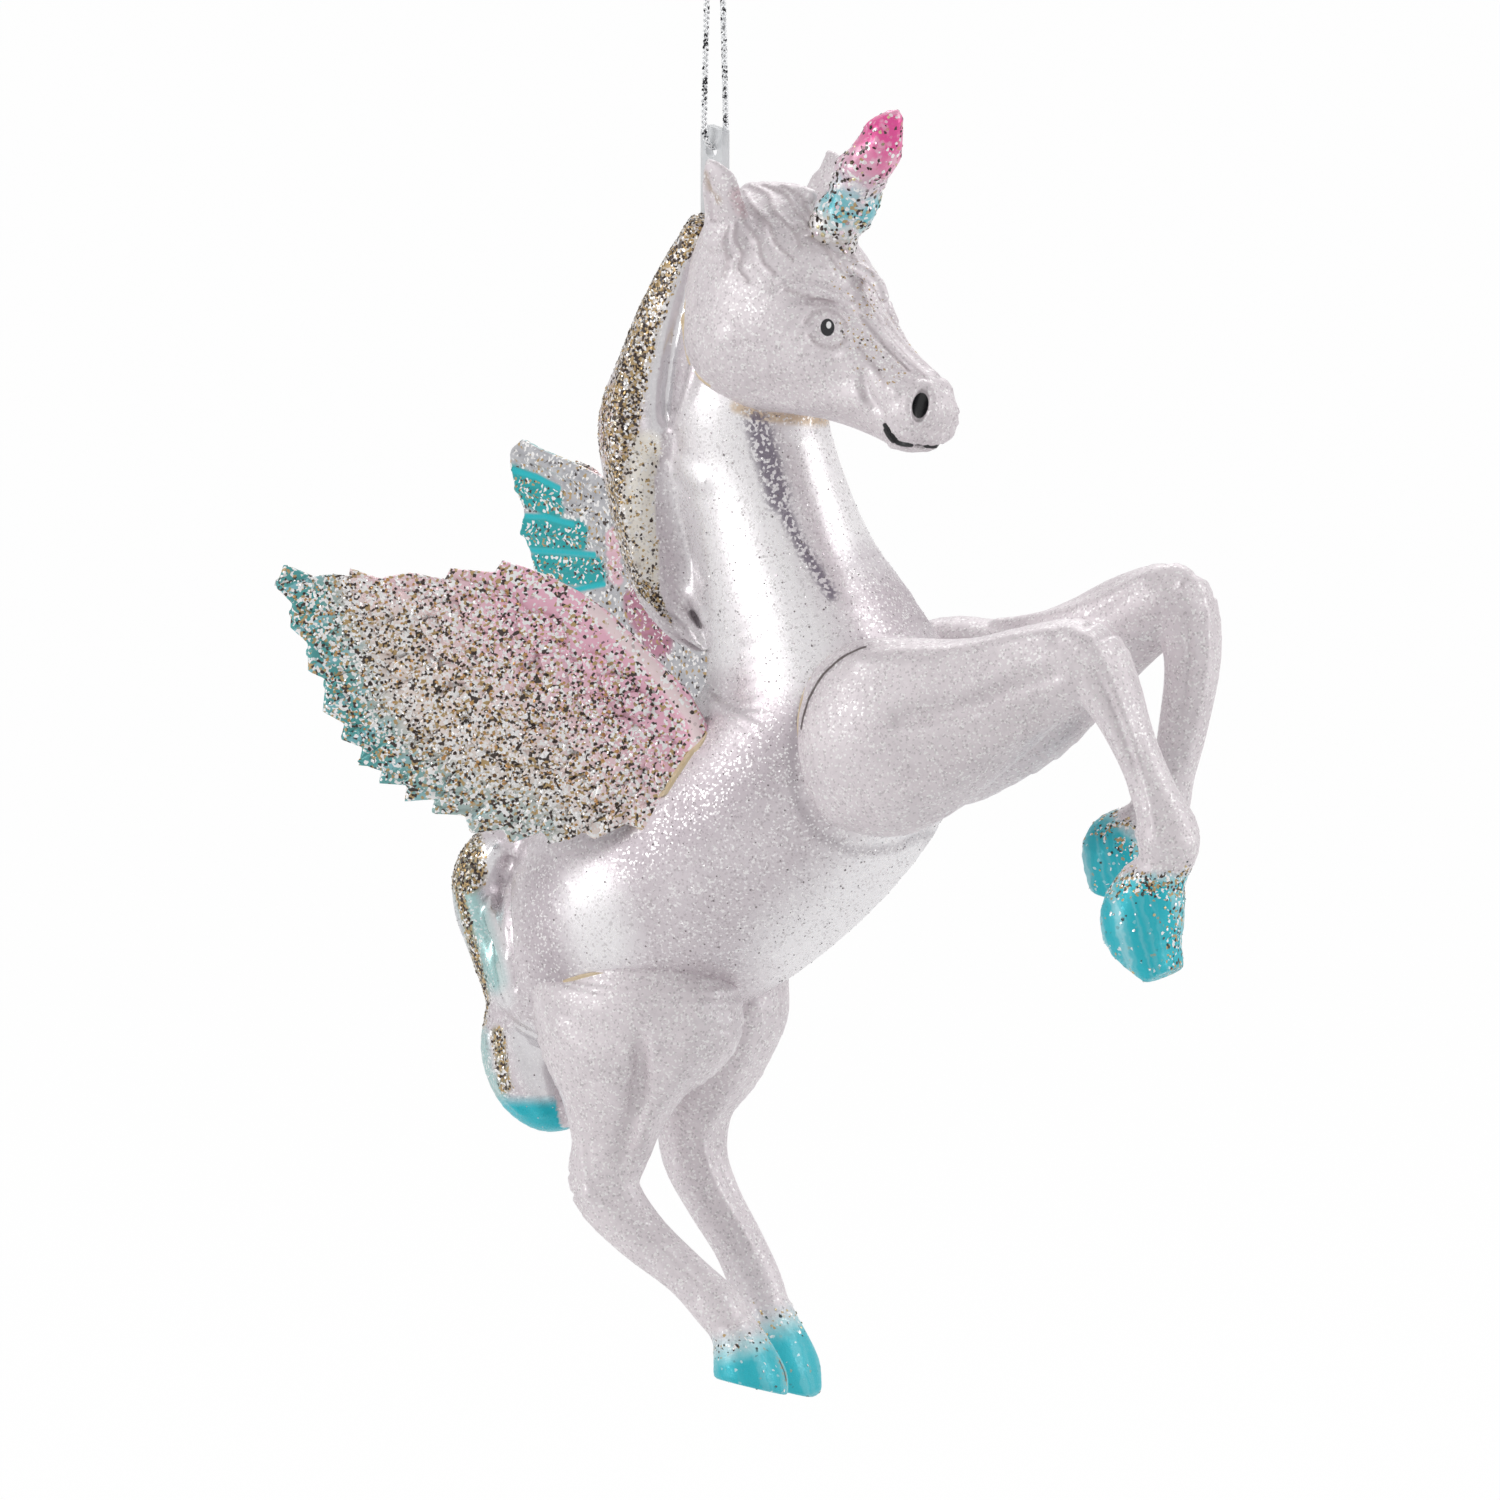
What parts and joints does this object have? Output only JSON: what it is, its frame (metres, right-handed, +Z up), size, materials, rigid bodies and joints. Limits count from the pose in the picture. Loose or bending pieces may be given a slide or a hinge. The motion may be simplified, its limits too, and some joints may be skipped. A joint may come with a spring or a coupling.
{
  "type": "hanging unicorn figurine",
  "caption": "Rearing winged unicorn ornament: a silvered glass body with glued cast head, horn, legs and wings, swinging from a cord loop through a tab at its poll.",
  "frame": {"origin": "inside the top of the cord's loop as modelled, on the underside of its knot, where a hook bears", "axes": "+X the way the body faces, +Z up, the animal's left side on +Y"},
  "size_m": [0.1151, 0.0706, 0.1884],
  "materials": {
    "silver_cord": "twisted metallic thread",
    "clear_tab": "clear moulded plastic",
    "pearl_glass": "silvered glass under pearl lacquer and fine glitter",
    "pearl_resin": "cast resin in satin pearl with fine glitter",
    "horn_glitter": "cast resin, aqua to pink, with coarse glitter",
    "wing_glitter": "cast resin, pink and aqua under coarse champagne glitter",
    "clear_glue": "clear glue gone amber"
  },
  "bodies": {
    "hanger": {"hanging_cord": "silver_cord", "cord_knot": "silver_cord"},
    "figurine": {"hanging_tab": "clear_tab", "glass_body": "pearl_glass", "head": "pearl_resin", "horn": "horn_glitter", "right_foreleg": "pearl_resin", "left_foreleg": "pearl_resin", "right_hind_leg": "pearl_resin", "left_hind_leg": "pearl_resin", "right_wing": "wing_glitter", "left_wing": "wing_glitter", "neck_glue": "clear_glue", "right_foreleg_glue": "clear_glue", "left_foreleg_glue": "clear_glue", "right_hind_leg_glue": "clear_glue", "left_hind_leg_glue": "clear_glue", "right_wing_glue": "clear_glue", "left_wing_glue": "clear_glue"}
  },
  "joints": [
    {"name": "swing", "type": "hinge", "parent": "hanger", "child": "figurine", "pos_m": [0, 0, -0.02465], "axis": [0.309, 0.9511, 0], "range_deg": [-60, 60]}
  ]
}
